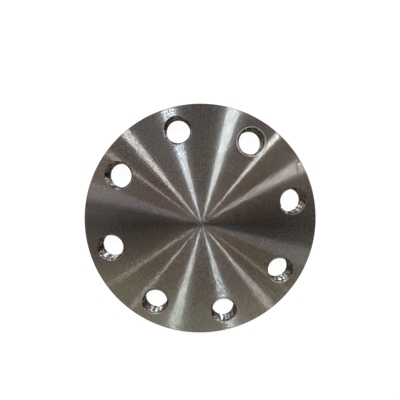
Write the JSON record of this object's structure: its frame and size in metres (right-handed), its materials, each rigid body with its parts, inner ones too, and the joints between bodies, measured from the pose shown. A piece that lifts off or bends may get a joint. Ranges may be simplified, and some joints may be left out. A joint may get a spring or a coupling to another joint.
{
  "type": "blank plate flange",
  "caption": "Flat round blank plate flange of turned steel, with a ring of plain bolt holes near its rim, light chamfers on every edge and no bore.",
  "frame": {"origin": "centre of the back face, where the plate's axis meets it", "axes": "+Z along the plate's axis, out of the front face; X and Y pass midway between neighbouring bolt holes"},
  "size_m": [0.185, 0.185, 0.014],
  "materials": {
    "turned_steel": "lathe-turned, fine circular tool marks, satin"
  },
  "bodies": {
    "root": {"flange_plate": "turned_steel"}
  },
  "joints": []
}
